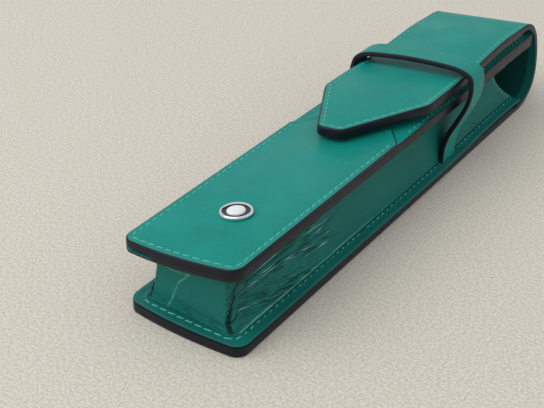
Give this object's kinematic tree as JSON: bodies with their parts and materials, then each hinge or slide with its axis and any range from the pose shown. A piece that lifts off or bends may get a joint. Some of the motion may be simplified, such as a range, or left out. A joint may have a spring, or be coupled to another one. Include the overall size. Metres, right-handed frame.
{
  "type": "pen pouch",
  "caption": "Slim boxy leather pouch for one pen, with a soft gusset, a flap that curls over the mouth, and a tongue held under a keeper strap.",
  "frame": {"origin": "centre of the outer box at the level of the back panel's face, with the pouch lying on its back", "axes": "+Z out of the front panel, away from the surface it lies on; +Y along the pouch towards the mouth and the curl of the flap; +X across it"},
  "size_m": [0.0408, 0.1684, 0.0316],
  "materials": {
    "smooth_leather": "satin, fine grain",
    "soft_leather": "satin, creased",
    "lining": "matt",
    "edge_paint": "glossy burnished edge coat",
    "board": "matt",
    "thread": "waxed",
    "polished_metal": "polished"
  },
  "bodies": {
    "pouch": {"back_leather": "smooth_leather", "back_stiffener": "board", "back_lining": "lining", "back_stitching": "thread", "gusset_leather": "soft_leather", "gusset_lining": "lining", "front_base_leather": "smooth_leather", "front_stiffener": "board", "front_lining": "lining", "front_overlay_leather": "smooth_leather", "front_stitching": "thread", "mouth_stitching_left": "thread", "mouth_stitching_right": "thread", "emblem_bezel": "polished_metal", "emblem_dome": "polished_metal", "emblem_washer": "polished_metal"},
    "strap": {"strap_leather": "smooth_leather", "strap_lining": "lining"},
    "hinge_lower": {"hinge_lower_leather": "smooth_leather", "hinge_lower_lining": "lining"},
    "hinge_upper": {"hinge_upper_leather": "smooth_leather", "hinge_upper_lining": "lining"},
    "flap": {"flap_leather": "smooth_leather", "flap_stiffener": "board", "flap_lining": "lining", "flap_stitching_left": "thread", "flap_stitching_right": "thread"},
    "tongue": {"tongue_leather": "smooth_leather", "tongue_stiffener": "board", "tongue_lining": "lining", "tongue_stitching": "thread"}
  },
  "joints": [
    {"name": "flap_fold_top", "type": "hinge", "parent": "hinge_upper", "child": "flap", "pos_m": [0, 0.0777, 0.02559], "axis": [-0.992, 0, -0.126], "range_deg": [0, 50], "deforming": ["strap_leather", "strap_lining"]},
    {"name": "flap_fold_middle", "type": "hinge", "parent": "hinge_lower", "child": "hinge_upper", "pos_m": [0.00041, 0.08425, 0.0131], "axis": [-0.9959, 0, -0.0907], "range_deg": [0, 50]},
    {"name": "flap_fold_bottom", "type": "hinge", "parent": "pouch", "child": "hinge_lower", "pos_m": [0.00145, 0.0777, 0.00176], "axis": [-1, 0, 0], "range_deg": [0, 50]},
    {"name": "tongue_bend", "type": "hinge", "parent": "flap", "child": "tongue", "pos_m": [0, 0.02275, 0.02669], "axis": [-0.992, 0, -0.126], "range_deg": [0, 30]},
    {"name": "strap_tilt", "type": "hinge", "parent": "pouch", "child": "strap", "pos_m": [0.00144, 0.02445, 0.00395], "axis": [-1, 0, 0], "range_deg": [-6, 8], "stiffness_Nm_per_rad": 0.02}
  ],
  "couplings": [
    {"joint": "flap_fold_middle", "follows": "flap_fold_top", "ratio": 1},
    {"joint": "flap_fold_bottom", "follows": "flap_fold_top", "ratio": 1}
  ]
}
